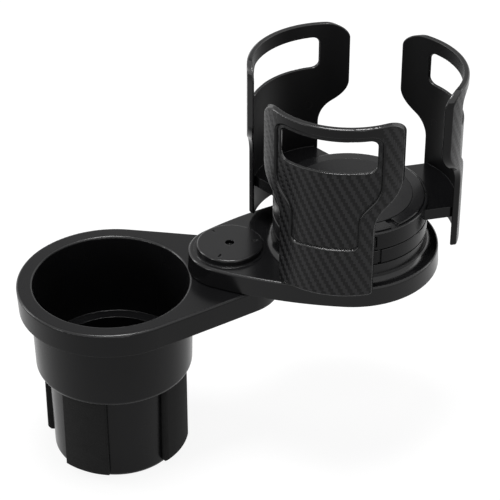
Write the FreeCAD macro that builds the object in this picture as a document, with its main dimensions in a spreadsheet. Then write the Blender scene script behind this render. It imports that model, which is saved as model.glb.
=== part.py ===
import FreeCAD, Part
import math
import os

import Sketcher

# Cup holder expander: a padded stem fits a car's cup holder and carries a fixed cup well,
# and a swivelling arm beside it carries a second holder with three sliding claws.
# Millimetres and degrees. The origin is the middle of the stem's underside, Z is up,
# and X runs from the cup well to the swivel.

SIZES = {
    # Cup well and stem, one moulding
    "flange_top": 99.5,
    "flange_radius": 47.0,
    "flange_depth": 13.0,
    "flange_wall": 2.4,
    "flange_skin": 3.0,
    "flange_rim_round": 1.2,
    "wall_draft": 3.0,
    "arm_length": 60.3,
    "base_side_radius": 3000.0,
    "base_tip_radius": 25.7,
    "barrel_radius": 40.8,
    "barrel_foot_radius": 39.6,
    "shoulder_height": 50.5,
    "shoulder_round": 3.0,
    "stem_radius": 33.4,
    "stem_foot_radius": 32.6,
    "stem_round": 2.5,
    "well_radius": 39.0,
    "well_foot_radius": 37.2,
    "ledge_height": 54.5,
    "ledge_radius": 31.0,
    "stem_bore_radius": 29.9,
    "floor_thickness": 3.0,
    "rib_thickness": 1.8,
    "rib_depth": 5.5,
    # Stem pads, glued into shallow recesses
    "pad_seat_radius": 32.2,
    "pad_outer_radius": 36.9,
    "pad_span": 39.0,
    "pad_foot_height": 3.0,
    "pad_turn": 54.3,
    "pad_edge_round": 1.0,
    "pad_foot_chamfer": 1.8,
    # Swivel between the two arms
    "swivel_turn": -4.1,
    "arm_gap": 0.6,
    "swivel_boss_radius": 12.5,
    "swivel_boss_depth": 9.0,
    "journal_radius": 8.4,
    "running_fit": 0.05,
    "hub_key_margin": 0.1,
    "hub_boss_wall": 6.1,
    "key_clearance": 0.1,
    "hub_cap_radius": 16.5,
    "hub_cap_height": 2.8,
    "hub_cap_round": 1.0,
    "hub_seat_radius": 18.0,
    "hub_seat_height": 0.4,
    "hub_dimple_radius": 2.3,
    "hub_dimple_depth": 2.2,
    "hub_mark_radius": 12.6,
    "hub_mark_length": 2.8,
    "hub_mark_width": 1.1,
    "hub_mark_depth": 0.6,
    "glide_washer_clearance": 0.8,
    "glide_washer_outer": 17.0,
    "swivel_washer_radius": 11.5,
    "swivel_washer_thickness": 1.2,
    # Upper arm, one moulding with the pedestal of the holder
    "upper_depth": 10.2,
    "upper_end_radius": 45.2,
    "upper_tip_radius": 21.2,
    "upper_side_radius": 200.0,
    "upper_wall": 2.4,
    "upper_skin": 2.6,
    "upper_rib_depth": 4.2,
    "upper_rim_round": 1.4,
    "holder_radius": 38.4,
    "pedestal_height": 8.9,
    "pedestal_foot_round": 3.6,
    "pedestal_wall": 3.0,
    "post_radius": 7.3,
    "post_foot_height": 1.2,
    "post_key_width": 9.0,
    "spigot_wall": 3.1,
    "spigot_height": 4.0,
    "sliding_gap": 0.3,
    # Twist ring with its cam disc
    "ring_height": 7.7,
    "ring_wall": 3.0,
    "cam_thickness": 3.0,
    "cam_turn": 90.0,
    "ring_edge_round": 0.5,
    "ring_notch_width": 1.8,
    "ring_notch_depth": 0.9,
    "ring_notch_turn": -83.8,
    # Slide housing, cover and grip pad
    "housing_height": 9.8,
    "housing_floor": 1.8,
    "housing_rim_wall": 1.5,
    "housing_edge_round": 0.8,
    "cover_seat_depth": 1.9,
    "cover_thickness": 2.8,
    "cover_clearance": 0.2,
    "cover_edge_round": 0.6,
    "cover_notch_width": 4.6,
    "cover_notch_turn": -70.0,
    "grip_pad_rim": 6.2,
    "grip_pad_depth": 1.2,
    "grip_pad_thickness": 1.4,
    "cover_screw_inset": 2.9,
    "cover_screw_radius": 1.25,
    "cover_screw_head_radius": 2.4,
    "cover_screw_length": 7.0,
    # Claws
    "claw_turn": 5.5,
    "claw_travel": 13.5,
    "claw_inner_radius": 39.0,
    "claw_wall": 2.9,
    "claw_foot_height": 13.0,
    "claw_top_height": 105.4,
    "claw_foot_half": 23.0,
    "claw_head_half": 33.6,
    "waist_low": 56.5,
    "waist_high": 67.0,
    "waist_round": 17.0,
    "head_corner_round": 7.5,
    "skirt_corner_round": 1.5,
    "claw_edge_round": 0.95,
    "claw_inner_round": 0.5,
    "window_low": 81.0,
    "window_high": 98.0,
    "window_half": 23.0,
    "window_corner_round": 3.5,
    "panel_depth": 1.2,
    "panel_margin": 2.2,
    "panel_low": 39.5,
    "panel_low_half": 16.0,
    "panel_corner_round": 2.5,
    "panel_waist_rise": 1.0,
    "panel_waist_round": 12.0,
    "slide_half_width": 21.0,
    "slide_clearance": 0.2,
    "slide_lift": 0.15,
    "slide_start": 13.0,
    "tongue_start": 8.5,
    "tongue_half_width": 7.0,
    "cam_pin_place": 12.0,
    "cam_pin_radius": 2.0,
    "cam_pin_clearance": 0.15,
    "cam_pin_end_gap": 0.3,
    # Screws
    "screw_radius": 2.0,
    "screw_clearance": 0.05,
    "screw_head_radius": 4.2,
    "screw_head_height": 2.6,
    "screw_length": 15.0,
    "screw_washer_radius": 8.0,
    "screw_washer_thickness": 1.0,
}

CLAW_COUNT = 3
PAD_COUNT = 4
STAY_COUNT = 7
HUB_MARK_COUNT = 3
SHEET_NAME = "Sizes"
TOOL_MARGIN = 4.0
OVERLAP = 1.0
SLOT_STEPS = 12
CLAW_BLANK_SPAN = 136.0
PANEL_BLANK_SPAN = 110.0

doc = FreeCAD.newDocument("cup_holder_expander")
sheet = doc.addObject("Spreadsheet::Sheet", SHEET_NAME)
for row, (alias, number) in enumerate(SIZES.items(), start=1):
    sheet.set(f"A{row}", alias)
    sheet.set(f"B{row}", str(number))
    sheet.setAlias(f"B{row}", alias)
doc.recompute()


class Size:
    """A length or an angle: its number now, and the formula that binds it to the sheet."""

    def __init__(self, number, formula):
        self.number = float(number)
        self.formula = formula

    def joined(self, other, sign, number):
        return Size(number, f"({self.formula} {sign} {other.formula})")

    def __add__(self, other):
        other = as_size(other)
        return self.joined(other, "+", self.number + other.number)

    def __sub__(self, other):
        other = as_size(other)
        return self.joined(other, "-", self.number - other.number)

    def __mul__(self, other):
        other = as_size(other)
        return self.joined(other, "*", self.number * other.number)

    def __truediv__(self, other):
        other = as_size(other)
        return self.joined(other, "/", self.number / other.number)

    def __neg__(self):
        return Size(-self.number, f"(0 - {self.formula})")


def as_size(value):
    return value if isinstance(value, Size) else Size(value, repr(float(value)))


def size(alias):
    """The sheet's own value under this alias."""
    return Size(sheet.get(alias), f"{SHEET_NAME}.{alias}")


ZERO = as_size(0)

# Heights of the cup well moulding, above the stem's underside
flange_top = size("flange_top")
flange_underside = flange_top - size("flange_skin")
boss_foot = flange_top - size("swivel_boss_depth")
upper_base = flange_top + size("arm_gap")

# Heights of the holder, above the upper arm's underside
arm_top = size("upper_depth")
arm_underside = arm_top - size("upper_skin")
pedestal_top = arm_top + size("pedestal_height")
ring_bottom = pedestal_top + size("sliding_gap")
ring_top = ring_bottom + size("ring_height")
cam_bottom = ring_top - size("cam_thickness")
spigot_top = pedestal_top + size("spigot_height")
housing_bottom = ring_top + size("sliding_gap")
housing_floor_top = housing_bottom + size("housing_floor")
housing_top = housing_bottom + size("housing_height")
cover_bottom = housing_top - size("cover_seat_depth")
cover_top = cover_bottom + size("cover_thickness")
grip_pad_bottom = cover_top - size("grip_pad_depth")
slide_bottom = housing_floor_top + size("slide_lift")
slide_top = cover_bottom - size("slide_lift")

# Radii that fit to one another
journal_bore = size("journal_radius") + size("running_fit")
hub_key_half = size("journal_radius") + size("hub_key_margin")
hub_boss_radius = size("journal_radius") + size("hub_boss_wall")
glide_washer_inner = size("journal_radius") + size("glide_washer_clearance")
post_bore = size("post_radius") + size("running_fit")
screw_bore = size("screw_radius") + size("screw_clearance")
ring_inner = size("holder_radius") - size("ring_wall")
spigot_outer = ring_inner - size("sliding_gap")
spigot_inner = spigot_outer - size("spigot_wall")
cover_seat_radius = size("holder_radius") - size("housing_rim_wall")
cover_radius = cover_seat_radius - size("cover_clearance")
grip_pad_radius = cover_radius - size("grip_pad_rim")
cover_screw_place = grip_pad_radius - size("cover_screw_inset")
claw_outer_radius = size("claw_inner_radius") + size("claw_wall")
channel_half = size("slide_half_width") + size("slide_clearance")
slot_half = size("cam_pin_radius") + size("cam_pin_clearance")
pin_out = size("cam_pin_place") + size("claw_travel")
pin_in = size("cam_pin_place")

cover_screw_tip = grip_pad_bottom - size("cover_screw_length")
first_screw_turn = as_size(180.0 / CLAW_COUNT)

parts = []


def origin_feature(body, role):
    return next(f for f in body.Origin.OriginFeatures if f.Role == role)


def new_body(label, kept=True):
    """A body with its label; a kept one is written out as a sub-part."""
    body = doc.addObject("PartDesign::Body", label)
    body.Label = label
    if kept:
        parts.append(body)
    return body


def new_sketch(body, plane, height=None, turn=None):
    """A sketch on one of the body's own origin planes, lifted and turned about its normal."""
    sketch = body.newObject("Sketcher::SketchObject", f"{body.Name}_sketch")
    sketch.AttachmentSupport = [(origin_feature(body, plane), "")]
    sketch.MapMode = "FlatFace"
    if height is not None:
        sketch.setExpression("AttachmentOffset.Base.z", height.formula)
    if turn is not None:
        sketch.setExpression("AttachmentOffset.Rotation.Angle", turn.formula)
    return sketch


def set_distance(sketch, direction, geometry, point, value):
    """Holds one coordinate of a sketch point at a size, measured from the origin."""
    if value.number == 0:
        axis = -2 if direction == "DistanceX" else -1
        sketch.addConstraint(Sketcher.Constraint("PointOnObject", geometry, point, axis))
        return
    ends = (-1, 1, geometry, point) if value.number > 0 else (geometry, point, -1, 1)
    length = value if value.number > 0 else -value
    row = sketch.addConstraint(Sketcher.Constraint(direction, *ends, length.number))
    sketch.setExpression(f"Constraints[{row}]", length.formula)


def hold_point(sketch, geometry, point, x, y):
    set_distance(sketch, "DistanceX", geometry, point, x)
    set_distance(sketch, "DistanceY", geometry, point, y)


def set_radius(sketch, geometry, radius):
    row = sketch.addConstraint(Sketcher.Constraint("Radius", geometry, radius.number))
    sketch.setExpression(f"Constraints[{row}]", radius.formula)


def corner_arc(previous, corner, following, radius):
    """Where a rounded corner leaves its two lines, and its arc, always anticlockwise."""
    back = (previous - corner).normalize()
    ahead = (following - corner).normalize()
    half_angle = back.getAngle(ahead) / 2
    start = corner + back * (radius / math.tan(half_angle))
    end = corner + ahead * (radius / math.tan(half_angle))
    middle = (back + ahead).normalize()
    centre = corner + middle * (radius / math.sin(half_angle))
    turns_left = back.cross(ahead).z < 0
    ends = (start, end) if turns_left else (end, start)
    return start, end, arc_between(centre, radius, *ends), turns_left


def draw_outline(sketch, corners):
    """Straight lines through the corners, each (x, y) or (x, y, radius of its rounding)."""
    sizes = [tuple(as_size(value) for value in corner) for corner in corners]
    points = [FreeCAD.Vector(corner[0].number, corner[1].number, 0) for corner in sizes]
    leaves = []
    arcs = []
    for index, (point, corner) in enumerate(zip(points, sizes)):
        if len(corner) < 3:
            leaves.append((point, point))
            arcs.append(None)
            continue
        following = points[(index + 1) % len(points)]
        start, end, arc, left = corner_arc(points[index - 1], point, following, corner[2].number)
        leaves.append((start, end))
        arcs.append((sketch.addGeometry(arc, False), left))
    lines = []
    for (_, start), (end, _) in zip(leaves, leaves[1:] + leaves[:1]):
        lines.append(sketch.addGeometry(Part.LineSegment(start, end), False))
    for index, (point, corner) in enumerate(zip(points, sizes)):
        before, after = lines[index - 1], lines[index]
        if arcs[index] is None:
            sketch.addConstraint(Sketcher.Constraint("Coincident", before, 2, after, 1))
            hold_point(sketch, after, 1, corner[0], corner[1])
            continue
        arc, left = arcs[index]
        enter, leave = (1, 2) if left else (2, 1)
        mark = sketch.addGeometry(Part.Point(point), True)
        hold_point(sketch, mark, 1, corner[0], corner[1])
        sketch.addConstraint(Sketcher.Constraint("Tangent", before, 2, arc, enter))
        sketch.addConstraint(Sketcher.Constraint("Tangent", arc, leave, after, 1))
        set_radius(sketch, arc, corner[2])
        sketch.addConstraint(Sketcher.Constraint("PointOnObject", mark, 1, before))
        sketch.addConstraint(Sketcher.Constraint("PointOnObject", mark, 1, after))


def draw_circle(sketch, radius, x=ZERO, y=ZERO):
    centre = FreeCAD.Vector(x.number, y.number, 0)
    shape = Part.Circle(centre, FreeCAD.Vector(0, 0, 1), radius.number)
    circle = sketch.addGeometry(shape, False)
    hold_point(sketch, circle, 3, x, y)
    set_radius(sketch, circle, radius)


def draw_box(sketch, low_x, low_y, high_x, high_y):
    corners = [(low_x, low_y), (high_x, low_y), (high_x, high_y), (low_x, high_y)]
    draw_outline(sketch, corners)


def arc_between(centre, radius, start, end):
    """The arc of a circle that runs anticlockwise from one point to another."""
    circle = Part.Circle(centre, FreeCAD.Vector(0, 0, 1), radius)
    angles = [math.atan2(p.y - centre.y, p.x - centre.x) for p in (start, end)]
    return Part.ArcOfCircle(circle, *angles)


def draw_arm_plan(sketch, root_radius, tip_radius, tip_x, side_radius):
    """Two round ends, one at the origin, joined by long bulging arcs tangent to both."""
    distance = abs(tip_x.number)
    toward = math.copysign(1, tip_x.number)
    root_reach = side_radius.number - root_radius.number
    tip_reach = side_radius.number - tip_radius.number
    along = (root_reach**2 - tip_reach**2 + distance**2) / (2 * distance)
    across = math.sqrt(root_reach**2 - along**2)
    root = FreeCAD.Vector(0, 0, 0)
    tip = FreeCAD.Vector(tip_x.number, 0, 0)
    upper_centre = FreeCAD.Vector(toward * along, -across, 0)
    lower_centre = FreeCAD.Vector(toward * along, across, 0)

    def touch(side_centre, end_centre):
        direction = (end_centre - side_centre).normalize()
        return side_centre + direction * side_radius.number

    upper_root, upper_tip = touch(upper_centre, root), touch(upper_centre, tip)
    lower_root, lower_tip = touch(lower_centre, root), touch(lower_centre, tip)
    ends = [
        (root, root_radius, upper_root, lower_root),
        (lower_centre, side_radius, lower_root, lower_tip),
        (tip, tip_radius, lower_tip, upper_tip),
        (upper_centre, side_radius, upper_tip, upper_root),
    ]
    arcs = []
    for centre, radius, start, end in ends:
        if toward < 0:
            start, end = end, start
        arc = arc_between(centre, radius.number, start, end)
        arcs.append(sketch.addGeometry(arc, False))
    last, first = (2, 1) if toward > 0 else (1, 2)
    for arc, following in zip(arcs, arcs[1:] + arcs[:1]):
        sketch.addConstraint(Sketcher.Constraint("Tangent", arc, last, following, first))
    hold_point(sketch, arcs[0], 3, ZERO, ZERO)
    hold_point(sketch, arcs[2], 3, tip_x, ZERO)
    for arc, (_, radius, _, _) in zip(arcs, ends):
        set_radius(sketch, arc, radius)


def draw_sector(sketch, inner, outer, span, turn):
    """A ring sector: two arcs about the origin and two straight ends."""
    start = math.radians(turn.number - span.number / 2)
    end = math.radians(turn.number + span.number / 2)
    axis = FreeCAD.Vector(0, 0, 1)
    origin = FreeCAD.Vector(0, 0, 0)
    arcs = []
    for radius in (inner, outer):
        circle = Part.Circle(origin, axis, radius.number)
        arc = sketch.addGeometry(Part.ArcOfCircle(circle, start, end), False)
        sketch.addConstraint(Sketcher.Constraint("Coincident", arc, 3, -1, 1))
        set_radius(sketch, arc, radius)
        arcs.append(arc)
    for point, angle, sign in ((1, start, -1), (2, end, 1)):
        toward = FreeCAD.Vector(math.cos(angle), math.sin(angle), 0)
        line = Part.LineSegment(toward * inner.number, toward * outer.number)
        side = sketch.addGeometry(line, False)
        sketch.addConstraint(Sketcher.Constraint("Coincident", side, 1, arcs[0], point))
        sketch.addConstraint(Sketcher.Constraint("Coincident", side, 2, arcs[1], point))
        row = sketch.addConstraint(Sketcher.Constraint("Angle", side, angle))
        direction = turn + span * (sign / 2)
        sketch.setExpression(f"Constraints[{row}]", f"{direction.formula} * 1 deg")


def add_feature(body, kind, sketch=None):
    feature = body.newObject(f"PartDesign::{kind}", f"{body.Name}_{kind.lower()}")
    if sketch is not None:
        feature.Profile = sketch
        sketch.Visibility = False
    return feature


def pad(body, sketch, length, downward=False, draft=None):
    feature = add_feature(body, "Pad", sketch)
    feature.setExpression("Length", length.formula)
    feature.Reversed = downward
    if draft is not None:
        feature.setExpression("TaperAngle", (-draft).formula)
    doc.recompute()
    return feature


def pocket(body, sketch, length=None, along_normal=True):
    """Cuts the sketch out of the body, along its normal or against it, and proves it cut."""
    before = body.Shape.Volume
    feature = add_feature(body, "Pocket", sketch)
    if length is None:
        feature.Type = "ThroughAll"
    else:
        feature.setExpression("Length", length.formula)
    feature.Reversed = along_normal
    doc.recompute()
    if not feature.Shape.Volume < before - 1e-3:
        raise RuntimeError(f"{feature.Name} of {body.Label} cuts nothing")
    return feature


def revolve(body, sketch, kind="Revolution"):
    """Turns the sketch about Z: adds a solid, or cuts one as a Groove."""
    feature = add_feature(body, kind, sketch)
    feature.ReferenceAxis = (sketch, ["V_Axis"])
    feature.Angle = 360.0
    doc.recompute()


def polar(body, originals, count, angle=360.0):
    feature = add_feature(body, "PolarPattern")
    feature.Originals = originals
    feature.Axis = (origin_feature(body, "Z_Axis"), [""])
    feature.Angle = angle
    feature.Occurrences = count
    body.Tip = feature
    doc.recompute()
    return feature


def edge_names(shape, test):
    """Names of the edges whose points all pass the test."""
    names = []
    for number, edge in enumerate(shape.Edges, start=1):
        if edge.Length < 1e-6 or edge.Degenerated:
            continue
        points = edge.discretize(5)
        if all(test(point) for point in points):
            names.append(f"Edge{number}")
    return names


def dress(body, kind, measure, test):
    """A fillet or chamfer on every edge of the body that passes the test."""
    base = body.Tip
    names = edge_names(base.Shape, test)
    if not names:
        raise RuntimeError(f"no edge of {body.Label} for its {kind} {measure.formula}")
    feature = add_feature(body, kind)
    feature.Base = (base, names)
    feature.setExpression("Radius" if kind == "Fillet" else "Size", measure.formula)
    doc.recompute()
    return feature


def near(value, target, slack=0.02):
    return abs(value - target.number) < slack


def reach(point, x=0.0, y=0.0):
    return math.hypot(point.x - x, point.y - y)


def ring_test(height, radius):
    """Passes points at one height and one distance from the Z axis."""
    return lambda p: near(p.z, height) and near(reach(p), radius)


def drum_test(radius):
    """Passes points at one distance from the Z axis, at any height."""
    return lambda p: near(reach(p), radius)


def polar_size(radius, turn, kind):
    """A coordinate of a point at this radius and turn, kept bound to the sheet."""
    angle = math.radians(turn.number)
    share = math.cos(angle) if kind == "cos" else math.sin(angle)
    return Size(radius.number * share, f"({radius.formula} * {kind}({turn.formula} * 1 deg))")


def upright_place(x, y, z, turn):
    axis = FreeCAD.Vector(0, 0, 1)
    return FreeCAD.Placement(FreeCAD.Vector(x, y, z), FreeCAD.Rotation(axis, turn))


first_screw_place = [
    polar_size(cover_screw_place, first_screw_turn, kind) for kind in ("cos", "sin")
]
arm_length = size("arm_length").number
swivel_place = upright_place(arm_length, 0, upper_base.number, size("swivel_turn").number)
holder_place = swivel_place.multiply(upright_place(arm_length, 0, 0, 0))
grip_place = holder_place.multiply(upright_place(0, 0, 0, size("claw_turn").number))


def claw_place(number):
    """Where a claw stands when it is slid right out."""
    turned = upright_place(0, 0, 0, number * 360.0 / CLAW_COUNT)
    slid = upright_place(size("claw_travel").number, 0, 0, 0)
    return grip_place.multiply(turned).multiply(slid)


def turned_body(label, profile, place):
    """A turned piece: the (radius, height) profile revolved about Z."""
    body = new_body(label)
    sketch = new_sketch(body, "XZ_Plane")
    draw_outline(sketch, profile)
    revolve(body, sketch)
    body.Placement = place


def make_cup_body():
    """Cup well, stem, flange and base arm: one moulding, open underneath."""
    body = new_body("cup_body")
    tip_x = size("arm_length")
    side = size("base_side_radius")
    plan = new_sketch(body, "XY_Plane", flange_top)
    draw_arm_plan(plan, size("flange_radius"), size("base_tip_radius"), tip_x, side)
    pad(body, plan, size("flange_depth"), downward=True, draft=size("wall_draft"))

    wall = size("flange_wall")
    hollow = new_sketch(body, "XY_Plane", flange_top - size("flange_depth"))
    root_radius = size("flange_radius") - wall
    tip_radius = size("base_tip_radius") - wall
    draw_arm_plan(hollow, root_radius, tip_radius, tip_x, side - wall)
    pocket(body, hollow, size("flange_depth") - size("flange_skin"))

    outside = new_sketch(body, "XZ_Plane")
    draw_outline(outside, [
        (0, 0),
        (size("stem_foot_radius"), 0),
        (size("stem_radius"), size("shoulder_height")),
        (size("barrel_foot_radius"), size("shoulder_height")),
        (size("barrel_radius"), flange_top),
        (0, flange_top),
    ])
    revolve(body, outside)

    rib_half = size("rib_thickness") / 2
    rib_foot = flange_underside - size("rib_depth")
    boss = new_sketch(body, "XY_Plane", boss_foot)
    draw_circle(boss, size("swivel_boss_radius"), x=tip_x)
    pad(body, boss, flange_underside - boss_foot)
    spine = new_sketch(body, "XY_Plane", rib_foot)
    spine_end = tip_x + size("base_tip_radius") - wall / 2
    rib_start = size("well_radius") + OVERLAP
    draw_box(spine, rib_start, -rib_half, spine_end, rib_half)
    pad(body, spine, size("rib_depth") + OVERLAP)
    crossing = new_sketch(body, "XY_Plane", rib_foot)
    cross_reach = size("base_tip_radius") - wall / 2
    draw_box(crossing, tip_x - rib_half, -cross_reach, tip_x + rib_half, cross_reach)
    pad(body, crossing, size("rib_depth") + OVERLAP)
    stay = new_sketch(body, "XY_Plane", rib_foot)
    draw_box(stay, -rib_half, rib_start, rib_half, size("flange_radius") - wall / 2)
    first_stay = pad(body, stay, size("rib_depth") + OVERLAP)
    polar(body, [first_stay], STAY_COUNT, angle=180.0)

    inside = new_sketch(body, "XZ_Plane")
    draw_outline(inside, [
        (0, size("floor_thickness")),
        (size("stem_bore_radius"), size("floor_thickness")),
        (size("ledge_radius"), size("ledge_height")),
        (size("well_foot_radius"), size("ledge_height")),
        (size("well_radius"), flange_top),
        (size("well_radius"), flange_top + TOOL_MARGIN),
        (0, flange_top + TOOL_MARGIN),
    ])
    revolve(body, inside, "Groove")

    journal = new_sketch(body, "XY_Plane", boss_foot - TOOL_MARGIN)
    draw_circle(journal, journal_bore, x=tip_x)
    pocket(body, journal)

    seat = new_sketch(body, "XY_Plane", size("pad_foot_height"))
    seat_outer = size("pad_outer_radius") + OVERLAP
    draw_sector(seat, size("pad_seat_radius"), seat_outer, size("pad_span"), size("pad_turn"))
    first_seat = pocket(body, seat, size("shoulder_height") - size("pad_foot_height"))
    polar(body, [first_seat], PAD_COUNT)

    def on_top_rim(p):
        inner_edge = size("well_radius").number + 3
        off_swivel = reach(p, tip_x.number) > journal_bore.number + 1
        return near(p.z, flange_top) and reach(p) > inner_edge and off_swivel

    dress(body, "Fillet", size("flange_rim_round"), on_top_rim)
    dress(body, "Fillet", size("flange_rim_round"), ring_test(flange_top, size("well_radius")))
    shoulder = ring_test(size("shoulder_height"), size("barrel_foot_radius"))
    dress(body, "Fillet", size("shoulder_round"), shoulder)
    dress(body, "Fillet", size("stem_round"), ring_test(ZERO, size("stem_foot_radius")))


def make_stem_pads():
    """Four soft pads round the stem, each in its own recess."""
    for number in range(PAD_COUNT):
        body = new_body(f"stem_pad_{number + 1}")
        plan = new_sketch(body, "XY_Plane", size("pad_foot_height"))
        turn = size("pad_turn") + number * 360.0 / PAD_COUNT
        outer = size("pad_outer_radius")
        draw_sector(plan, size("pad_seat_radius"), outer, size("pad_span"), turn)
        pad(body, plan, size("shoulder_height") - size("pad_foot_height"))
        foot = ring_test(size("pad_foot_height"), outer)
        dress(body, "Chamfer", size("pad_foot_chamfer"), foot)

        def on_upright_edge(p):
            from_middle = math.degrees(math.atan2(p.y, p.x)) - turn.number
            from_middle = (from_middle + 180) % 360 - 180
            return near(reach(p), outer) and near(abs(from_middle), size("pad_span") / 2)

        dress(body, "Fillet", size("pad_edge_round"), on_upright_edge)


def make_upper_arm():
    """Swivelling arm, its pedestal and the post that carries the holder: one moulding."""
    body = new_body("upper_arm")
    pivot_x = -size("arm_length")
    side = size("upper_side_radius")
    wall = size("upper_wall")
    plan = new_sketch(body, "XY_Plane")
    draw_arm_plan(plan, size("upper_end_radius"), size("upper_tip_radius"), pivot_x, side)
    pad(body, plan, size("upper_depth"), draft=size("wall_draft"))
    dress(body, "Fillet", size("upper_rim_round"), lambda p: near(p.z, arm_top))

    hollow = new_sketch(body, "XY_Plane")
    end_radius = size("upper_end_radius") - wall
    tip_radius = size("upper_tip_radius") - wall
    draw_arm_plan(hollow, end_radius, tip_radius, pivot_x, side - wall)
    pocket(body, hollow, arm_underside)

    hub_seat = new_sketch(body, "XY_Plane", arm_underside)
    draw_circle(hub_seat, size("hub_seat_radius"), x=pivot_x)
    pad(body, hub_seat, size("upper_skin") + size("hub_seat_height"))
    hub_boss = new_sketch(body, "XY_Plane")
    draw_circle(hub_boss, hub_boss_radius, x=pivot_x)
    pad(body, hub_boss, arm_top)

    pedestal = new_sketch(body, "XY_Plane", arm_underside)
    draw_circle(pedestal, size("holder_radius"))
    pad(body, pedestal, pedestal_top - arm_underside)
    pedestal_foot = ring_test(arm_top, size("holder_radius"))
    dress(body, "Fillet", size("pedestal_foot_round"), pedestal_foot)
    core = new_sketch(body, "XY_Plane")
    draw_circle(core, size("holder_radius") - size("pedestal_wall"))
    pocket(body, core, pedestal_top - size("pedestal_wall"))

    spigot = new_sketch(body, "XY_Plane", pedestal_top)
    draw_circle(spigot, spigot_outer)
    draw_circle(spigot, spigot_inner)
    pad(body, spigot, size("spigot_height"))
    post = new_sketch(body, "XY_Plane", size("post_foot_height"))
    draw_circle(post, size("post_radius"))
    pad(body, post, housing_bottom - size("post_foot_height"))

    rib_half = size("rib_thickness") / 2
    rib_foot = arm_underside - size("upper_rib_depth")
    rib_roof = pedestal_top - size("pedestal_wall") / 2
    spoke = new_sketch(body, "XY_Plane", rib_foot)
    spoke_end = size("holder_radius") - size("pedestal_wall") / 2
    draw_box(spoke, ZERO, -rib_half, spoke_end, rib_half)
    first_spoke = pad(body, spoke, rib_roof - rib_foot)
    polar(body, [first_spoke], 2 * CLAW_COUNT)
    spine = new_sketch(body, "XY_Plane", rib_foot)
    draw_box(spine, pivot_x, -rib_half, -spoke_end, rib_half)
    pad(body, spine, arm_top - size("upper_skin") / 2 - rib_foot)

    key_half = size("post_key_width") / 2
    key = new_sketch(body, "XY_Plane", housing_bottom, turn=size("claw_turn"))
    draw_box(key, -key_half, -key_half, key_half, key_half)
    pad(body, key, size("housing_floor"))
    thread = new_sketch(body, "XY_Plane", housing_floor_top)
    draw_circle(thread, screw_bore)
    pocket(body, thread, size("screw_length") + OVERLAP, along_normal=False)

    hub_half = hub_key_half + size("key_clearance")
    hub_bore = new_sketch(body, "XY_Plane", -as_size(TOOL_MARGIN))
    draw_box(hub_bore, pivot_x - hub_half, -hub_half, pivot_x + hub_half, hub_half)
    pocket(body, hub_bore)
    body.Placement = holder_place


def make_swivel():
    """Hub, its screw and washers: the pin that the upper arm turns on."""
    hub = new_body("pivot_hub")
    cap_foot = arm_top + size("hub_seat_height")
    journal_foot = boss_foot - upper_base
    journal_top = size("sliding_gap")
    shaft = new_sketch(hub, "XY_Plane", journal_foot)
    draw_circle(shaft, size("journal_radius"))
    pad(hub, shaft, journal_top - journal_foot)
    key = new_sketch(hub, "XY_Plane", journal_top)
    draw_box(key, -hub_key_half, -hub_key_half, hub_key_half, hub_key_half)
    pad(hub, key, cap_foot - journal_top)
    cap = new_sketch(hub, "XY_Plane", cap_foot)
    draw_circle(cap, size("hub_cap_radius"))
    pad(hub, cap, size("hub_cap_height"))
    cap_top = cap_foot + size("hub_cap_height")
    dress(hub, "Fillet", size("hub_cap_round"), ring_test(cap_top, size("hub_cap_radius")))
    dimple = new_sketch(hub, "XY_Plane", cap_top)
    draw_circle(dimple, size("hub_dimple_radius"))
    pocket(hub, dimple, size("hub_dimple_depth"), along_normal=False)
    mark = new_sketch(hub, "XY_Plane", cap_top)
    mark_start = size("hub_mark_radius") - size("hub_mark_length") / 2
    mark_half = size("hub_mark_width") / 2
    draw_box(mark, mark_start, -mark_half, mark_start + size("hub_mark_length"), mark_half)
    first_mark = pocket(hub, mark, size("hub_mark_depth"), along_normal=False)
    polar(hub, [first_mark], HUB_MARK_COUNT)
    thread = new_sketch(hub, "XY_Plane", journal_foot)
    draw_circle(thread, screw_bore)
    pocket(hub, thread, size("screw_length") + OVERLAP)
    hub.Placement = swivel_place

    turned_body("glide_washer", [
        (glide_washer_inner, 0),
        (size("glide_washer_outer"), 0),
        (size("glide_washer_outer"), size("arm_gap")),
        (glide_washer_inner, size("arm_gap")),
    ], upright_place(arm_length, 0, flange_top.number, 0))
    plate = size("swivel_washer_thickness")
    turned_body("pivot_washer", [
        (screw_bore, journal_foot - plate),
        (size("swivel_washer_radius"), journal_foot - plate),
        (size("swivel_washer_radius"), journal_foot),
        (screw_bore, journal_foot),
    ], swivel_place)
    head_top = journal_foot - plate
    turned_body("pivot_screw", [
        (0, head_top - size("screw_head_height")),
        (size("screw_head_radius"), head_top - size("screw_head_height")),
        (size("screw_head_radius"), head_top),
        (size("screw_radius"), head_top),
        (size("screw_radius"), head_top + size("screw_length")),
        (0, head_top + size("screw_length")),
    ], swivel_place)


def spiral_point(share, number):
    """Where the pin's middle lies at this share of the turn, and the slot's direction there."""
    spread = math.radians(size("cam_turn").number)
    inward = pin_in.number - pin_out.number
    radius = pin_out.number + inward * share
    angle = 2 * math.pi * number / CLAW_COUNT - spread * share
    outward = FreeCAD.Vector(math.cos(angle), math.sin(angle), 0)
    around = FreeCAD.Vector(-math.sin(angle), math.cos(angle), 0)
    along = (outward * inward - around * (radius * spread)).normalize()
    foot = FreeCAD.Vector(0, 0, cam_bottom.number - TOOL_MARGIN)
    return outward * radius + foot, along


def slot_side(number, sign):
    """One long side of the slot, a pin's half width away from the spiral."""
    points = []
    for step in range(SLOT_STEPS + 1):
        middle, along = spiral_point(step / SLOT_STEPS, number)
        across = FreeCAD.Vector(-along.y, along.x, 0)
        points.append(middle + across * (sign * slot_half.number))
    curve = Part.BSplineCurve()
    curve.interpolate(points)
    return curve.toShape(), points[0], points[-1]


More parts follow.
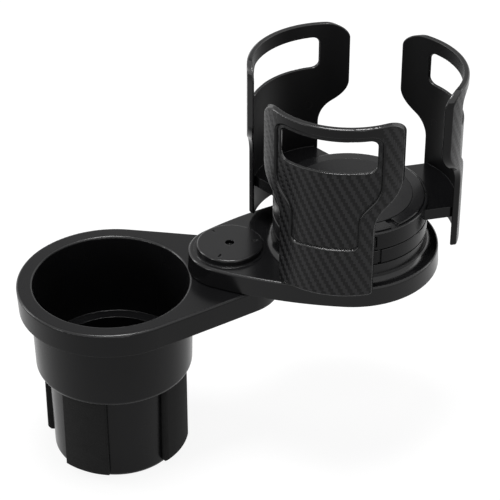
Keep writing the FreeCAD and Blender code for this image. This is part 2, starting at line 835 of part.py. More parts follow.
def spiral_slot(number):
    """A slot that follows a pin drawn in evenly as the ring turns."""
    left, left_start, left_end = slot_side(number, 1)
    right, right_start, right_end = slot_side(number, -1)
    inner_middle, inner_along = spiral_point(1, number)
    outer_middle, outer_along = spiral_point(0, number)
    inner_tip = inner_middle + inner_along * slot_half.number
    outer_tip = outer_middle - outer_along * slot_half.number
    inner_end = Part.Arc(left_end, inner_tip, right_end).toShape()
    outer_end = Part.Arc(right_start, outer_tip, left_start).toShape()
    outline = Part.Wire([left, inner_end, right.reversed(), outer_end])
    height = size("cam_thickness").number + 2 * TOOL_MARGIN
    return Part.Face(outline).extrude(FreeCAD.Vector(0, 0, height))


def make_twist_ring():
    """Ring turned by hand: its cam disc has a spiral slot for each claw's pin."""
    blank = new_body("ring_blank", kept=False)
    section = new_sketch(blank, "XZ_Plane")
    draw_outline(section, [
        (post_bore, cam_bottom),
        (ring_inner, cam_bottom),
        (ring_inner, ring_bottom),
        (size("holder_radius"), ring_bottom),
        (size("holder_radius"), ring_top),
        (post_bore, ring_top),
    ])
    revolve(blank, section)
    outer = size("holder_radius")
    dress(blank, "Fillet", size("ring_edge_round"), drum_test(outer))
    notch = new_sketch(blank, "XY_Plane", ring_bottom - OVERLAP)
    turn = size("ring_notch_turn")
    span = size("ring_notch_width") / outer * math.degrees(1)
    draw_sector(notch, outer - size("ring_notch_depth"), outer + OVERLAP, span, turn)
    pocket(blank, notch, size("ring_height") + 2 * OVERLAP)

    slots = doc.addObject("Part::Feature", "cam_slots")
    slots.Shape = Part.makeCompound([spiral_slot(number) for number in range(CLAW_COUNT)])
    ring = doc.addObject("Part::Cut", "twist_ring")
    ring.Label = "twist_ring"
    ring.Base = blank
    ring.Tool = slots
    ring.Placement = grip_place
    doc.recompute()
    parts.append(ring)


def make_thrust_ring():
    turned_body("thrust_ring", [
        (spigot_inner, spigot_top),
        (spigot_outer, spigot_top),
        (spigot_outer, cam_bottom),
        (spigot_inner, cam_bottom),
    ], holder_place)


def make_slide_housing():
    """Fixed drum: three channels guide the claws' feet, radial slots pass their pins."""
    body = new_body("slide_housing")
    drum = new_sketch(body, "XY_Plane", housing_bottom)
    draw_circle(drum, size("holder_radius"))
    pad(body, drum, size("housing_height"))
    dress(body, "Fillet", size("housing_edge_round"), drum_test(size("holder_radius")))
    seat = new_sketch(body, "XY_Plane", housing_top)
    draw_circle(seat, cover_seat_radius)
    pocket(body, seat, size("cover_seat_depth"), along_normal=False)
    channel = new_sketch(body, "YZ_Plane")
    draw_box(channel, -channel_half, housing_floor_top, channel_half, cover_bottom)
    first_channel = pocket(body, channel)
    polar(body, [first_channel], CLAW_COUNT)

    below = housing_bottom - OVERLAP
    through = size("housing_floor") + 2 * OVERLAP
    track = new_sketch(body, "XY_Plane", below)
    draw_box(track, pin_in - slot_half, -slot_half, pin_out + slot_half, slot_half)
    first_track = pocket(body, track, through)
    polar(body, [first_track], CLAW_COUNT)
    key_half = size("post_key_width") / 2 + size("key_clearance")
    key = new_sketch(body, "XY_Plane", below)
    draw_box(key, -key_half, -key_half, key_half, key_half)
    pocket(body, key, through)
    pilot = new_sketch(body, "XY_Plane", cover_bottom)
    draw_circle(pilot, size("cover_screw_radius"), *first_screw_place)
    first_pilot = pocket(body, pilot, cover_bottom - cover_screw_tip + OVERLAP, along_normal=False)
    polar(body, [first_pilot], CLAW_COUNT)
    body.Placement = grip_place


def make_cover():
    """Lid over the claws' feet, its screws, and the grip pad that hides them."""
    body = new_body("top_cover")
    disc = new_sketch(body, "XY_Plane", cover_bottom)
    draw_circle(disc, cover_radius)
    pad(body, disc, size("cover_thickness"))
    dress(body, "Fillet", size("cover_edge_round"), ring_test(cover_top, cover_radius))
    recess_radius = grip_pad_radius + size("cover_clearance")
    recess = new_sketch(body, "XY_Plane", cover_top)
    draw_circle(recess, recess_radius)
    pocket(body, recess, size("grip_pad_depth"), along_normal=False)
    notch = new_sketch(body, "XY_Plane", cover_top)
    span = size("cover_notch_width") / cover_radius * (180 / math.pi)
    notch_inner = recess_radius - 1
    draw_sector(notch, notch_inner, cover_radius + 1, span, size("cover_notch_turn"))
    pocket(body, notch, size("grip_pad_depth"), along_normal=False)

    hole = new_sketch(body, "XY_Plane", grip_pad_bottom)
    draw_circle(hole, size("cover_screw_radius"), *first_screw_place)
    first_hole = pocket(body, hole, along_normal=False)
    polar(body, [first_hole], CLAW_COUNT)

    def on_hole_rim(p):
        x, y = (place.number for place in first_screw_place)
        places = [upright_place(0, 0, 0, 360.0 / CLAW_COUNT * number) for number in range(CLAW_COUNT)]
        middles = [place.multVec(FreeCAD.Vector(x, y, 0)) for place in places]
        rims = [near(reach(p, middle.x, middle.y), size("cover_screw_radius")) for middle in middles]
        return near(p.z, grip_pad_bottom) and any(rims)

    bevel_depth = size("cover_screw_head_radius") - size("cover_screw_radius")
    dress(body, "Chamfer", bevel_depth, on_hole_rim)
    body.Placement = grip_place

    grip = new_body("grip_pad")
    face = new_sketch(grip, "XY_Plane", grip_pad_bottom)
    draw_circle(face, grip_pad_radius)
    pad(grip, face, size("grip_pad_thickness"))
    grip.Placement = grip_place

    for number in range(CLAW_COUNT):
        turn = first_screw_turn.number + 360.0 / CLAW_COUNT * number
        turned = grip_place.multiply(upright_place(0, 0, 0, turn))
        turned_body(f"cover_screw_{number + 1}", [
            (0, cover_screw_tip),
            (size("cover_screw_radius"), cover_screw_tip),
            (size("cover_screw_radius"), grip_pad_bottom - bevel_depth),
            (size("cover_screw_head_radius"), grip_pad_bottom),
            (0, grip_pad_bottom),
        ], turned.multiply(upright_place(cover_screw_place.number, 0, 0, 0)))


def make_housing_screw():
    plate_top = housing_floor_top + size("screw_washer_thickness")
    turned_body("holder_washer", [
        (screw_bore, housing_floor_top),
        (size("screw_washer_radius"), housing_floor_top),
        (size("screw_washer_radius"), plate_top),
        (screw_bore, plate_top),
    ], holder_place)
    turned_body("holder_screw", [
        (0, plate_top - size("screw_length")),
        (size("screw_radius"), plate_top - size("screw_length")),
        (size("screw_radius"), plate_top),
        (size("screw_head_radius"), plate_top),
        (size("screw_head_radius"), plate_top + size("screw_head_height")),
        (0, plate_top + size("screw_head_height")),
    ], holder_place)


def wall_sector(body, inner, outer, low, high, span):
    """An upright curved wall between two radii, centred on +X."""
    plan = new_sketch(body, "XY_Plane", low)
    draw_sector(plan, inner, outer, as_size(span), ZERO)
    pad(body, plan, high - low)


def both_sides(corners):
    """The outline whose right half is given from foot to head, mirrored to the left."""
    return corners + [(-corner[0], *corner[1:]) for corner in reversed(corners)]


def trim_outside(body, corners, low, high, half):
    """Cuts away all that lies outside the outline, seen along X."""
    sketch = new_sketch(body, "YZ_Plane")
    margin = 2 * TOOL_MARGIN
    draw_box(sketch, -half - margin, low - margin, half + margin, high + margin)
    draw_outline(sketch, both_sides(corners))
    pocket(body, sketch)


def make_panel_tool():
    """The thin layer that is missing from a claw's outside, round the window and below it."""
    tool = new_body("panel_tool", kept=False)
    margin = size("panel_margin")
    low = size("panel_low")
    high = size("window_high") + margin
    head = size("window_half") + margin
    foot = size("panel_low_half")
    bottom = claw_outer_radius - size("panel_depth")
    over = claw_outer_radius + TOOL_MARGIN
    wall_sector(tool, bottom, over, low - OVERLAP, high + OVERLAP, PANEL_BLANK_SPAN)
    rise = size("panel_waist_rise")
    trim_outside(tool, [
        (foot, low, size("panel_corner_round")),
        (foot, size("waist_low") + rise, size("panel_waist_round")),
        (head, size("waist_high") + rise, size("panel_waist_round")),
        (head, high, size("window_corner_round") + margin),
    ], low, high, size("claw_head_half"))
    return tool


def window_rim_test(radius):
    """Passes points of the window's edge at this distance from the Z axis."""
    on_drum = drum_test(radius)
    half = size("window_half").number
    low = size("window_low").number - OVERLAP
    high = size("window_high").number + OVERLAP
    return lambda p: on_drum(p) and abs(p.y) < half + OVERLAP and low < p.z < high


def make_claw(number):
    """One claw: a curved shell with a window, a recessed panel and a sliding foot."""
    body = new_body(f"claw_{number + 1}")
    low = size("claw_foot_height")
    high = size("claw_top_height")
    foot = size("claw_foot_half")
    head = size("claw_head_half")
    inner = size("claw_inner_radius")
    wall_sector(body, inner, claw_outer_radius, low - OVERLAP, high + OVERLAP, CLAW_BLANK_SPAN)
    trim_outside(body, [
        (foot, low, size("skirt_corner_round")),
        (foot, size("waist_low"), size("waist_round")),
        (head, size("waist_high"), size("waist_round")),
        (head, high, size("head_corner_round")),
    ], low, high, head + TOOL_MARGIN)
    cut = body.newObject("PartDesign::Boolean", f"{body.Name}_panel")
    cut.Type = "Cut"
    cut.setObjects([make_panel_tool()])
    doc.recompute()
    dress(body, "Fillet", size("claw_edge_round"), drum_test(claw_outer_radius))
    window = new_sketch(body, "YZ_Plane")
    half = size("window_half")
    corner = size("window_corner_round")
    right_side = [(half, size("window_low"), corner), (half, size("window_high"), corner)]
    draw_outline(window, both_sides(right_side))
    pocket(body, window)
    rim = window_rim_test(claw_outer_radius - size("panel_depth"))
    dress(body, "Fillet", size("claw_inner_round"), rim)
    dress(body, "Fillet", size("claw_inner_round"), drum_test(inner))

    plate_end = inner + size("claw_wall") / 2
    slide = new_sketch(body, "XY_Plane", slide_bottom)
    draw_slide_plan(slide, plate_end)
    pad(body, slide, slide_top - slide_bottom)
    pin_hole = new_sketch(body, "XY_Plane", slide_bottom)
    draw_circle(pin_hole, size("cam_pin_radius"), x=size("cam_pin_place"))
    pocket(body, pin_hole, slide_top - slide_bottom)
    body.Placement = claw_place(number)


def draw_slide_plan(sketch, plate_end):
    """Foot plate: a narrow tongue, a wide plate, and an arc that ends inside the wall."""
    tongue = size("tongue_half_width")
    wide = size("slide_half_width")
    start = size("tongue_start")
    step = size("slide_start")
    end_x = math.sqrt(plate_end.number**2 - wide.number**2)
    way = [
        FreeCAD.Vector(end_x, -wide.number, 0),
        FreeCAD.Vector(step.number, -wide.number, 0),
        FreeCAD.Vector(step.number, -tongue.number, 0),
        FreeCAD.Vector(start.number, -tongue.number, 0),
        FreeCAD.Vector(start.number, tongue.number, 0),
        FreeCAD.Vector(step.number, tongue.number, 0),
        FreeCAD.Vector(step.number, wide.number, 0),
        FreeCAD.Vector(end_x, wide.number, 0),
    ]
    lines = [sketch.addGeometry(Part.LineSegment(a, b), False) for a, b in zip(way, way[1:])]
    for line, following in zip(lines, lines[1:]):
        sketch.addConstraint(Sketcher.Constraint("Coincident", line, 2, following, 1))
    held = [(step, -wide), (step, -tongue), (start, -tongue), (start, tongue), (step, tongue)]
    for line, (x, y) in zip(lines, held):
        hold_point(sketch, line, 2, x, y)
    set_distance(sketch, "DistanceX", lines[5], 2, step)
    set_distance(sketch, "DistanceY", lines[5], 2, wide)
    end_arc = arc_between(FreeCAD.Vector(0, 0, 0), plate_end.number, way[0], way[-1])
    arc = sketch.addGeometry(end_arc, False)
    sketch.addConstraint(Sketcher.Constraint("Coincident", arc, 3, -1, 1))
    set_radius(sketch, arc, plate_end)
    sketch.addConstraint(Sketcher.Constraint("Coincident", arc, 1, lines[0], 1))
    sketch.addConstraint(Sketcher.Constraint("Coincident", arc, 2, lines[-1], 2))
    set_distance(sketch, "DistanceY", lines[0], 1, -wide)
    set_distance(sketch, "DistanceY", lines[-1], 2, wide)


def make_cam_pin(number):
    """Steel pin pressed through a claw's foot into the cam disc's slot."""
    foot = cam_bottom + size("cam_pin_end_gap")
    top = slide_top - size("cam_pin_end_gap")
    turned_body(f"cam_pin_{number + 1}", [
        (0, foot),
        (size("cam_pin_radius"), foot),
        (size("cam_pin_radius"), top),
        (0, top),
    ], claw_place(number).multiply(upright_place(size("cam_pin_place").number, 0, 0, 0)))


def check_and_write():
    """Refuses a failed object or a bad shape, then writes each sub-part's file."""
    for item in doc.Objects:
        if "Invalid" in item.State or "Error" in item.State:
            raise RuntimeError(f"{item.Name} failed: {item.State}")
    for part in parts:
        if part.Shape.isNull() or not part.Shape.isValid() or len(part.Shape.Solids) != 1:
            raise RuntimeError(f"{part.Label} is not one valid solid")
    os.makedirs("parts", exist_ok=True)
    for part in parts:
        solid = part.Shape.Solids[0]
        solid.exportStep(f"parts/{part.Label}.step")
        box = solid.BoundBox
        print(f"{part.Label}: {solid.Volume:.0f} mm3, z {box.ZMin:.1f} to {box.ZMax:.1f}")


make_cup_body()
make_stem_pads()
make_upper_arm()
make_swivel()
make_thrust_ring()
make_twist_ring()
make_slide_housing()
make_cover()
make_housing_screw()
for claw in range(CLAW_COUNT):
    make_claw(claw)
    make_cam_pin(claw)
doc.recompute()
check_and_write()
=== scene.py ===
# %% [markdown]
# # A cup holder expander
# The imported CAD model comes in as a fixed frame, one object per piece, in metres. Every piece
# already rides on the body it moves with, so this file only adds the finishes, the small details
# that moulding leaves behind, the light and the camera.

# %% Load the frame
import math

import bmesh
import bpy
from mathutils import Matrix, Vector

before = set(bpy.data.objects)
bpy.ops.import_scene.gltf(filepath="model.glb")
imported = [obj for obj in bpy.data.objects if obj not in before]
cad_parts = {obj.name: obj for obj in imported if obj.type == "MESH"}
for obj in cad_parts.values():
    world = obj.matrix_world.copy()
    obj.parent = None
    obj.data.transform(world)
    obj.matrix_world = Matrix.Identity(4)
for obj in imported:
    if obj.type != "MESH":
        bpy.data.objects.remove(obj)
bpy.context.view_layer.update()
MM = 0.001

# %% [markdown]
# Colours are written as the hex values that a colour picker shows. The renderer works with linear
# light, so one function turns a hex value into linear red, green and blue. All materials are made
# of nodes: one function adds a node, and the short ones after it name the nodes used most.

# %% Colours and nodes
def colour(code):
    """Linear RGBA of an sRGB hex value."""
    channels = [int(code[i:i + 2], 16) / 255 for i in (1, 3, 5)]
    linear = [c / 12.92 if c <= 0.04045 else ((c + 0.055) / 1.055) ** 2.4 for c in channels]
    return (*linear, 1.0)


def add_node(tree, kind, settings=None, inputs=None, output=0):
    """Adds one node with its settings and links, and returns the socket it gives."""
    node = tree.nodes.new(kind)
    for name, value in (settings or {}).items():
        setattr(node, name, value)
    for name, value in (inputs or {}).items():
        if isinstance(value, bpy.types.NodeSocket):
            tree.links.new(value, node.inputs[name])
        else:
            node.inputs[name].default_value = value
    return node.outputs[output]


def maths(tree, operation, *values, clamp=False):
    """A sum, product or other operation on one to three values."""
    return add_node(tree, "ShaderNodeMath", {"operation": operation, "use_clamp": clamp},
                    dict(enumerate(values)))


def vector_maths(tree, operation, *values, output="Vector"):
    """The same on one or two vectors."""
    return add_node(tree, "ShaderNodeVectorMath", {"operation": operation},
                    dict(enumerate(values)), output)


def ramp(tree, value, start=(0.0, 1.0), end=(0.0, 1.0)):
    """Carries one range of values over to another, and holds it at both ends."""
    return add_node(tree, "ShaderNodeMapRange", inputs={
        "Value": value, "From Min": start[0], "From Max": start[1],
        "To Min": end[0], "To Max": end[1]})


def mix_values(tree, factor, first, second):
    """The first value where the factor is 0, the second where it is 1."""
    return add_node(tree, "ShaderNodeMix", {"data_type": "FLOAT"},
                    {0: factor, 2: first, 3: second})


def mix_colours(tree, factor, first, second, blend="MIX"):
    """The same for two colours."""
    return add_node(tree, "ShaderNodeMix", {"data_type": "RGBA", "blend_type": blend},
                    {"Factor": factor, 6: first, 7: second}, output=2)


def noise(tree, place, size_mm, detail, roughness=0.5):
    """Cloudy noise with patches of about the given size."""
    return add_node(tree, "ShaderNodeTexNoise", inputs={
        "Vector": place, "Scale": 1 / (size_mm * MM), "Detail": detail, "Roughness": roughness})


def rounded_normal(tree, radius_mm, samples=4):
    """The normal that the surface would have if its edges were rounded."""
    return add_node(tree, "ShaderNodeBevel", {"samples": samples}, {"Radius": radius_mm * MM})


def relief(tree, height, depth_mm, normal=None):
    """The normal of a surface with a fine relief."""
    inputs = {"Height": height, "Strength": 1.0, "Distance": depth_mm * MM}
    if normal is not None:
        inputs["Normal"] = normal
    return add_node(tree, "ShaderNodeBump", inputs=inputs)


def new_material(name):
    """An empty material's node tree and its output node."""
    material = bpy.data.materials.new(name)
    material.use_nodes = True
    material.node_tree.nodes.clear()
    output = material.node_tree.nodes.new("ShaderNodeOutputMaterial")
    return material, material.node_tree, output


def set_surface(tree, output, inputs):
    """Ends a material with one Principled shader."""
    shader = add_node(tree, "ShaderNodeBsdfPrincipled", inputs=inputs)
    tree.links.new(shader, output.inputs["Surface"])


print("black #0e0e0f in linear light:", [round(v, 4) for v in colour("#0e0e0f")[:3]])

# %% [markdown]
# The camera stands where the photographer's did. It was solved from the ellipses of the cup well's
# rim and the twist ring: 34 degrees above the level, a long lens, about a metre away. A long lens
# keeps the claws upright and the circles nearly the same shape from front to back. The camera's
# place is given from the middle of the cup well's rim: to the right, up the picture and back.

# %% Camera
ORBIT = math.radians(12.26)
PITCH = math.radians(34.07)
FLANGE_TOP = 99.5 * MM
LENS = 144.0
CAMERA_RIGHT = 68.98 * MM
CAMERA_UP = 14.97 * MM
CAMERA_BACK = 991.63 * MM

view_forward = Vector((0, math.cos(PITCH), -math.sin(PITCH)))
view_up = Vector((0, math.sin(PITCH), math.cos(PITCH)))
stand = Vector((CAMERA_RIGHT, 0, 0)) + view_up * CAMERA_UP - view_forward * CAMERA_BACK
back_turn = Matrix.Rotation(-ORBIT, 4, "Z")
stand = back_turn @ stand + Vector((0, 0, FLANGE_TOP))

camera_data = bpy.data.cameras.new("camera")
camera_data.lens = LENS
camera_data.sensor_width = 36.0
camera_data.clip_end = 20.0
camera = bpy.data.objects.new("camera", camera_data)
aim = Matrix((Vector((1, 0, 0)), view_up, -view_forward)).transposed().to_4x4()
camera.matrix_world = Matrix.Translation(stand) @ back_turn @ aim
bpy.context.scene.collection.objects.link(camera)
bpy.context.scene.camera = camera
print("camera at", tuple(round(v, 3) for v in stand))

# %% [markdown]
# The object stands in a plain white studio. Gloss black plastic shows little of its own colour:
# what the eye reads is the room in it. The room is white all round, so the walls brighten where
# they turn away from the camera. A small strong lamp hangs overhead, and the rounded edges
# catch it as thin bright lines. Tall strips behind the sides light the flanks, and two shorter
# ones in front bring out the weave on the claws.

# %% Lamps
def add_soft_box(name, place, target, width, height, power):
    """A rectangular lamp that faces its target."""
    data = bpy.data.lights.new(name, "AREA")
    data.shape = "RECTANGLE"
    data.size = width
    data.size_y = height
    data.energy = power
    lamp = bpy.data.objects.new(name, data)
    lamp.location = place
    lamp.rotation_euler = (Vector(target) - Vector(place)).to_track_quat("-Z", "Y").to_euler()
    bpy.context.scene.collection.objects.link(lamp)


MIDDLE = (0.07, 0.0, 0.11)
soft_boxes = [
    ("overhead_lamp", (0.02, 0.00, 1.30), 0.40, 0.40, 11.0),
    ("left_back_strip", (-1.10, 0.30, 0.45), 0.25, 0.9, 3.8),
    ("right_back_strip", (1.20, 0.35, 0.50), 0.22, 0.9, 1.4),
    ("left_front_strip", (-1.02, -0.68, 0.22), 0.16, 0.4, 2.4),
    ("right_front_strip", (0.45, -1.15, 0.22), 0.16, 0.4, 1.6),
]
for name, place, width, height, power in soft_boxes:
    add_soft_box(name, back_turn @ Vector(place), MIDDLE, width, height, power)
print("lamps:", len(soft_boxes))

# %% [markdown]
# Floor and room look white to the camera and in reflections, while the light that they really
# give stays plain. The floor also keeps the object's soft shadow. It lies a tenth of a millimetre
# low, so that it never shares a plane with the underside of the stem.

# %% Floor and room
FLOOR_HALF_WIDTH = 5.0
FLOOR_DROP = 0.1 * MM
FLOOR_PAINT = "#747474"
FLOOR_GLOW = 0.89
ROOM_LIGHT = 0.35
WHITE = colour("#ffffff")

floor_mesh = bmesh.new()
bmesh.ops.create_grid(floor_mesh, x_segments=1, y_segments=1, size=FLOOR_HALF_WIDTH)
floor_data = bpy.data.meshes.new("floor")
floor_mesh.to_mesh(floor_data)
floor_mesh.free()
floor = bpy.data.objects.new("floor", floor_data)
floor.location.z = -FLOOR_DROP
bpy.context.scene.collection.objects.link(floor)


def seen_rays(tree):
    """1 where a ray comes from the camera, from a reflection or through something clear."""
    rays = tree.nodes.new("ShaderNodeLightPath").outputs
    mirrored = maths(tree, "ADD", rays["Is Camera Ray"], rays["Is Glossy Ray"])
    return maths(tree, "ADD", mirrored, rays["Is Transmission Ray"], clamp=True)


material, tree, output = new_material("white_studio_floor")
glow_seen = maths(tree, "MULTIPLY", seen_rays(tree), FLOOR_GLOW)
paint = add_node(tree, "ShaderNodeBsdfDiffuse", inputs={"Color": colour(FLOOR_PAINT)})
glow = add_node(tree, "ShaderNodeEmission", inputs={"Color": WHITE, "Strength": glow_seen})
both = add_node(tree, "ShaderNodeAddShader", inputs={0: paint, 1: glow})
tree.links.new(both, output.inputs["Surface"])
floor_data.materials.append(material)

world = bpy.data.worlds.new("studio_room")
bpy.context.scene.world = world
world.use_nodes = True
tree = world.node_tree
tree.nodes.clear()
room = add_node(tree, "ShaderNodeBackground", inputs={"Color": WHITE, "Strength": ROOM_LIGHT})
white = add_node(tree, "ShaderNodeBackground", inputs={"Color": WHITE, "Strength": 1.0})
seen = add_node(tree, "ShaderNodeMixShader", inputs={0: seen_rays(tree), 1: room, 2: white})
world_output = tree.nodes.new("ShaderNodeOutputWorld")
tree.links.new(seen, world_output.inputs["Surface"])
bpy.context.scene.view_settings.view_transform = "Standard"
print("floor:", 2 * FLOOR_HALF_WIDTH, "m wide")

# %% [markdown]
# Nearly everything is black ABS, injection moulded in a tool whose faces were spark eroded. That
# gives a satin surface: a very fine, even grain that spreads reflections without looking rough.
# The real grain is about 0.1 mm, too fine for the picture, so it is drawn at 0.35 mm. Broad, faint
# changes in gloss come from handling. Moulded edges are never knife sharp, so the shading rounds
# them by half a millimetre, and where a face turns over an edge the tool was polished, so the
# rounds are glossier than the faces. Nearly every face here is level or upright, so a normal that
# lies between the two marks a round: its upward part is then within 0.26 of 0.7.

# %% Satin moulded ABS
ABS_IOR = 1.53
GRAIN_MM = 0.35
HANDLING_MM = 28.0
EDGE_MM = 0.5
EDGE_SHINE = 0.42
ROUND_MIDDLE = 0.7
ROUND_SPREAD = 0.26


def edge_gloss(tree, rounded, plain, polished):
    """Specular level: polished on the rounds, plain on level and upright faces."""
    upward = add_node(tree, "ShaderNodeSeparateXYZ", inputs={0: rounded}, output=2)
    turning = maths(tree, "COMPARE", upward, ROUND_MIDDLE, ROUND_SPREAD)
    return ramp(tree, turning, end=(plain, polished))


def satin_abs(name, base, roughness, grain_depth_mm, shine):
    """Spark-eroded black ABS."""
    material, tree, output = new_material(name)
    place = add_node(tree, "ShaderNodeTexCoord", output="Object")
    grain = noise(tree, place, GRAIN_MM, 2.0, 0.6)
    handling = noise(tree, place, HANDLING_MM, 3.0)
    edge = rounded_normal(tree, EDGE_MM)
    set_surface(tree, output, {
        "Base Color": mix_colours(tree, handling, colour(base), colour("#161617")),
        "Roughness": ramp(tree, handling, (0.3, 0.7), (roughness - 0.04, roughness + 0.05)),
        "IOR": ABS_IOR,
        "Specular IOR Level": edge_gloss(tree, edge, shine, EDGE_SHINE),
        "Normal": relief(tree, grain, grain_depth_mm, edge)})
    return material


body_abs = satin_abs("black_abs_spark_eroded", "#0e0e0f", 0.24, 0.006, 0.12)
arm_abs = satin_abs("black_abs_fine_satin", "#101011", 0.2, 0.004, 0.19)
print("satin ABS grain:", GRAIN_MM, "mm")

# %% [markdown]
# The claws carry a carbon twill pattern, etched into the moulding tool, on their outside faces.
# In a two-by-two twill each thread passes over two and under two, and each row steps one thread
# along, so the tops line up in slanting stripes. The pattern wraps round the curved wall, so it is
# drawn along the arc and the height, in each claw's own frame. The three claws stand a third of a
# turn apart, each moved out from the holder's centre by the full travel of its slide.

# %% Carbon twill
THREAD_WIDE_MM = 1.15
THREAD_TALL_MM = 2.1
CLAW_RADIUS_MM = 41.9
CLAW_TRAVEL = 13.5 * MM
ARM = 60.3 * MM
SWIVEL_TURN = math.radians(-4.1)
CLAW_TURN = SWIVEL_TURN + math.radians(5.5)
holder = Vector((ARM + ARM * math.cos(SWIVEL_TURN), ARM * math.sin(SWIVEL_TURN), 0))


def claw_coordinates(tree, number):
    """Place in millimetres and normal of the surface, both in one claw's own frame."""
    turn = CLAW_TURN + number * 2 * math.pi / 3
    axis = holder + Vector((math.cos(turn), math.sin(turn), 0)) * CLAW_TRAVEL
    shift = Matrix.Rotation(-turn, 3, "Z") @ (-axis / MM)
    world = tree.nodes.new("ShaderNodeTexCoord").outputs
    local = add_node(tree, "ShaderNodeMapping", inputs={
        "Vector": world["Object"], "Location": shift,
        "Rotation": (0, 0, -turn), "Scale": (1 / MM,) * 3})
    facing = add_node(tree, "ShaderNodeMapping", {"vector_type": "NORMAL"}, {
        "Vector": world["Normal"], "Rotation": (0, 0, -turn)})
    return local, facing


def twill(tree, angle, z):
    """Thread heights of the twill, and where the upright threads lie on top."""
    across = maths(tree, "MULTIPLY", angle, CLAW_RADIUS_MM / THREAD_WIDE_MM)
    along = maths(tree, "DIVIDE", z, THREAD_TALL_MM)
    column = maths(tree, "FLOOR", across)
    row = maths(tree, "FLOOR", along)
    phase = maths(tree, "FLOORED_MODULO", maths(tree, "ADD", column, row), 4.0)
    upright_on_top = maths(tree, "LESS_THAN", phase, 1.5)
    humps = []
    for through, rise in ((across, THREAD_WIDE_MM / THREAD_TALL_MM), (along, 1.0)):
        half_wave = maths(tree, "MULTIPLY", maths(tree, "FRACT", through), math.pi)
        humps.append(maths(tree, "MULTIPLY", maths(tree, "SINE", half_wave), rise))
    return mix_values(tree, upright_on_top, humps[1], humps[0]), upright_on_top


print("twill threads:", THREAD_WIDE_MM, "by", THREAD_TALL_MM, "mm")

# %% [markdown]
# A plain gloss border runs along every edge of a claw. The rail above the window is plain too, and
# so is the inside, but for the faint rings that the tool's ejector pins leave. The border is found
# with the Bevel node: near an edge, the rounded normal that it gives differs from the face's own.
# Each pair of limits below is where a mask starts and where it is full.

# %% Finish of the claws
RIM_MM = 1.4
OFF_EDGE = (0.975, 0.995)
OUTER_FACE = (0.93, 0.985)
INNER_FACE = (-0.6, -0.9)
TOP_RAIL_HALF_MM = 27.0
TOP_RAIL_FOOT_MM = 199.0
EJECTOR_MARKS_MM = ((29.0, 196.0), (20.0, 160.0))
EJECTOR_RADIUS_MM = 2.3
EJECTOR_LINE_MM = 0.25
EJECTOR_HEIGHT = 0.8
CLAW_EDGE_MM = 0.35
CLAW_RELIEF_MM = 0.06


def top_rail(tree, side, z):
    """1 on the plain rail above the window."""
    above = maths(tree, "GREATER_THAN", z, TOP_RAIL_FOOT_MM)
    between = maths(tree, "LESS_THAN", side, TOP_RAIL_HALF_MM / CLAW_RADIUS_MM)
    return maths(tree, "MULTIPLY", above, between)


def ejector_marks(tree, side, z):
    """Thin raised rings, the same on the left and the right of the claw."""
    arc = maths(tree, "MULTIPLY", side, CLAW_RADIUS_MM)
    spot = add_node(tree, "ShaderNodeCombineXYZ", inputs={"X": arc, "Y": z})
    away = [vector_maths(tree, "DISTANCE", spot, (*mark, 0), output="Value")
            for mark in EJECTOR_MARKS_MM]
    nearest = maths(tree, "MINIMUM", *away)
    return maths(tree, "COMPARE", nearest, EJECTOR_RADIUS_MM, EJECTOR_LINE_MM)


def claw_masks(tree, local, facing, side, z):
    """1 on the woven face, and 1 on the inside face."""
    flat = vector_maths(tree, "MULTIPLY", local, (1, 1, 0))
    radial = vector_maths(tree, "NORMALIZE", flat)
    outward = vector_maths(tree, "DOT_PRODUCT", facing, radial, output="Value")
    face = add_node(tree, "ShaderNodeNewGeometry", output="True Normal")
    near_edge = rounded_normal(tree, RIM_MM, samples=6)
    flatness = vector_maths(tree, "DOT_PRODUCT", near_edge, face, output="Value")
    outer = maths(tree, "MULTIPLY", ramp(tree, outward, OUTER_FACE), ramp(tree, flatness, OFF_EDGE))
    woven = maths(tree, "SUBTRACT", outer, top_rail(tree, side, z), clamp=True)
    return woven, ramp(tree, outward, INNER_FACE)


def claw_finish(number):
    """Gloss black ABS with the etched twill on the outside of one claw."""
    material, tree, output = new_material(f"black_abs_etched_twill_{number + 1}")
    local, facing = claw_coordinates(tree, number)
    x, y, z = add_node(tree, "ShaderNodeSeparateXYZ", inputs={0: local}).node.outputs
    angle = maths(tree, "ARCTAN2", y, x)
    side = maths(tree, "ABSOLUTE", angle)
    height, upright_on_top = twill(tree, angle, z)
    woven, inside = claw_masks(tree, local, facing, side, z)

    threads = mix_colours(tree, upright_on_top, colour("#080809"), colour("#303031"))
    # Each thread's colour is darkened by up to 15 percent towards its edges, following its height:
    # painted shade of the rounded threads.
    threads = mix_colours(tree, 0.15, threads, height, blend="MULTIPLY")
    plain = mix_colours(tree, inside, colour("#0c0c0d"), colour("#09090a"))
    plain_rough = ramp(tree, inside, end=(0.2, 0.45))
    thread_rough = ramp(tree, upright_on_top, end=(0.32, 0.27))

    raised_threads = maths(tree, "MULTIPLY", height, woven)
    marks = maths(tree, "MULTIPLY", ejector_marks(tree, side, z), EJECTOR_HEIGHT)
    inner_marks = maths(tree, "MULTIPLY", marks, inside)
    raised = maths(tree, "ADD", raised_threads, inner_marks)
    edge = rounded_normal(tree, CLAW_EDGE_MM)
    set_surface(tree, output, {
        "Base Color": mix_colours(tree, woven, plain, threads),
        "Roughness": mix_values(tree, woven, plain_rough, thread_rough),
        "IOR": ABS_IOR,
        "Specular IOR Level": edge_gloss(tree, edge, 0.15, 0.6),
        "Normal": relief(tree, raised, CLAW_RELIEF_MM, edge)})
    return material


claw_materials = [claw_finish(number) for number in range(3)]
print("claw finishes:", len(claw_materials))

# %% [markdown]
# The stem's pads and the disc between the claws are soft: black foam rubber on the stem, so that
# it squeezes into the car's holder, and a thin cast rubber disc that keeps a cup from sliding.
# Both are matt. The foam shows open pores about half a millimetre across.

# %% Foam rubber and cast rubber
RUBBER_IOR = 1.52
RUBBER_SHINE = 0.18
CLOUD_MM = 6.0


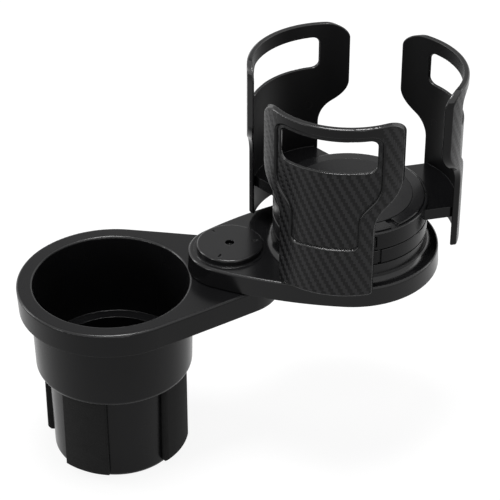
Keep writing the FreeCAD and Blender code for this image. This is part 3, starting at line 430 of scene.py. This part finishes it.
def soft_rubber(name, base, light, pore_mm, depth_mm, roughness):
    """Matt black rubber with pores or a fine cast texture."""
    material, tree, output = new_material(name)
    place = add_node(tree, "ShaderNodeTexCoord", output="Object")
    pores = add_node(tree, "ShaderNodeTexVoronoi", inputs={
        "Vector": place, "Scale": 1 / (pore_mm * MM), "Randomness": 1.0})
    clouds = noise(tree, place, CLOUD_MM, 4.0, 0.65)
    set_surface(tree, output, {
        "Base Color": mix_colours(tree, clouds, colour(base), colour(light)),
        "Roughness": roughness,
        "IOR": RUBBER_IOR,
        "Specular IOR Level": RUBBER_SHINE,
        "Normal": relief(tree, pores, depth_mm)})
    return material


foam = soft_rubber("black_foam_rubber", "#0e0e0e", "#1e1e1e", 0.6, 0.22, 0.85)
cast = soft_rubber("black_cast_rubber", "#101011", "#161617", 0.5, 0.03, 0.5)
print("rubbers:", foam.name, cast.name)

# %% [markdown]
# Inside, where the ring and the swivel turn, white acetal washers run against the ABS: a waxy
# natural plastic. The screws, plain washers and cam pins are steel with bright zinc plating, whose
# thin crystals give a slightly uneven grey.

# %% Acetal and zinc-plated steel
def plain_finish(name, base, light, roughness, metallic, ior, patch_mm):
    """A smooth finish whose tone and gloss drift in small patches."""
    material, tree, output = new_material(name)
    place = add_node(tree, "ShaderNodeTexCoord", output="Object")
    patches = noise(tree, place, patch_mm, 3.0)
    set_surface(tree, output, {
        "Base Color": mix_colours(tree, patches, colour(base), colour(light)),
        "Roughness": ramp(tree, patches, end=(roughness - 0.05, roughness + 0.08)),
        "Metallic": metallic,
        "IOR": ior})
    return material


acetal = plain_finish("natural_acetal", "#e6e3da", "#efece4", 0.4, 0.0, 1.48, 4.0)
zinc = plain_finish("zinc_plated_steel", "#b9bcc0", "#cfd1d4", 0.3, 1.0, 1.5, 1.5)
print("inner finishes:", acetal.name, zinc.name)

# %% [markdown]
# On the real object every moulding and the pads are black, and only the parts inside the swivel
# and the twist ring are white acetal or plated steel. The finishes go straight into the material
# slots of the CAD pieces, which are as near to the real shapes as this part needs, so no piece is
# replaced here.

# %% Give each CAD piece its finish
finishes = {
    "cup_body": body_abs, "upper_arm": arm_abs, "pivot_hub": arm_abs, "twist_ring": body_abs,
    "slide_housing": body_abs, "top_cover": arm_abs, "grip_pad": cast, "glide_washer": acetal,
    "thrust_ring": acetal, "pivot_washer": zinc, "pivot_screw": zinc, "holder_washer": zinc,
    "holder_screw": zinc,
}
for number in range(1, 5):
    finishes[f"stem_pad_{number}"] = foam
for number in range(1, 4):
    finishes[f"cover_screw_{number}"] = zinc
    finishes[f"cam_pin_{number}"] = zinc
    finishes[f"claw_{number}"] = claw_materials[number - 1]
for node, material in finishes.items():
    node_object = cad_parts[node]
    node_object.data.materials.clear()
    node_object.data.materials.append(material)
print("finished pieces:", len(finishes), "of", len(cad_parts))
